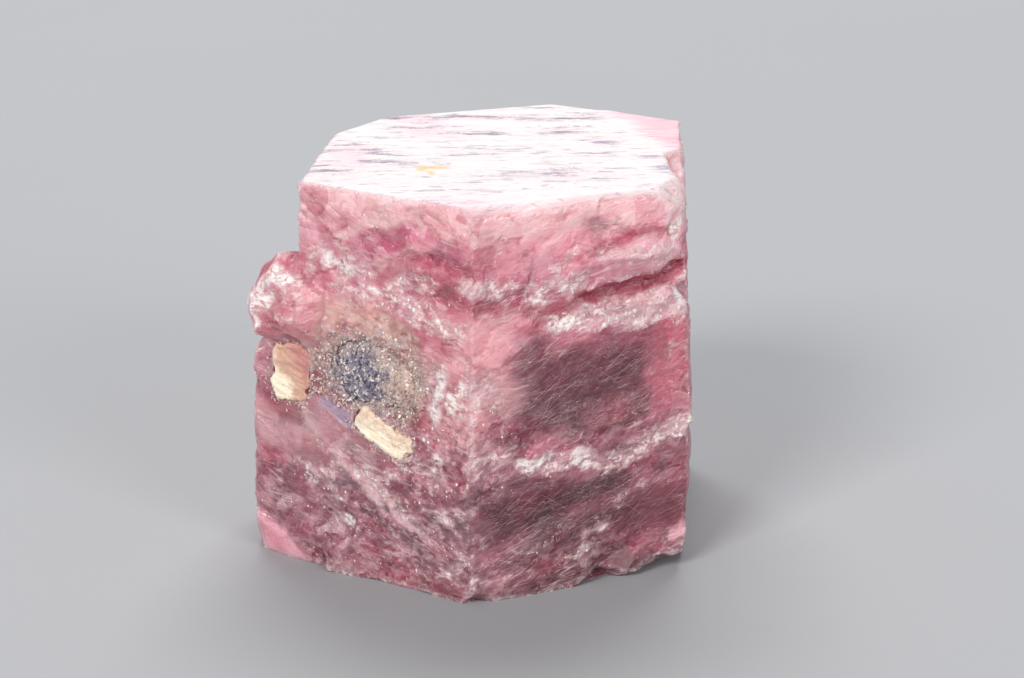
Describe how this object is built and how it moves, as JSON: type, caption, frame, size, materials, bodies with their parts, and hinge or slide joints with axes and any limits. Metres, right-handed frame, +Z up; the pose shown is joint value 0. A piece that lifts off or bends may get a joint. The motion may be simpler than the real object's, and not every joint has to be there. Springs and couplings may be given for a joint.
{
  "type": "raw ruby crystal",
  "caption": "Rough ruby crystal: a stubby six-sided prism with a flat top, broken sides, a grown-on nodule and host rock left in a hollow.",
  "frame": {"origin": "under the middle of the stone's box, on the plane it rests on", "axes": "+Z up along the prism, +Y from the front edge to the back, which is the stone's longest way, +X to the right when seen from the front edge"},
  "size_m": [0.0082, 0.0092, 0.0068],
  "materials": {
    "ruby": "translucent pink to dark mauve, glassy on fresh breaks and frosted white on worn ones, finely scratched",
    "mica": "grey, blue-black and cream grains that glint",
    "calcite": "cream, satin on its cleavage faces"
  },
  "bodies": {
    "root": {"ruby_crystal": "ruby", "mica_patch": "mica", "calcite_side": "calcite", "calcite_low": "calcite"}
  },
  "joints": []
}
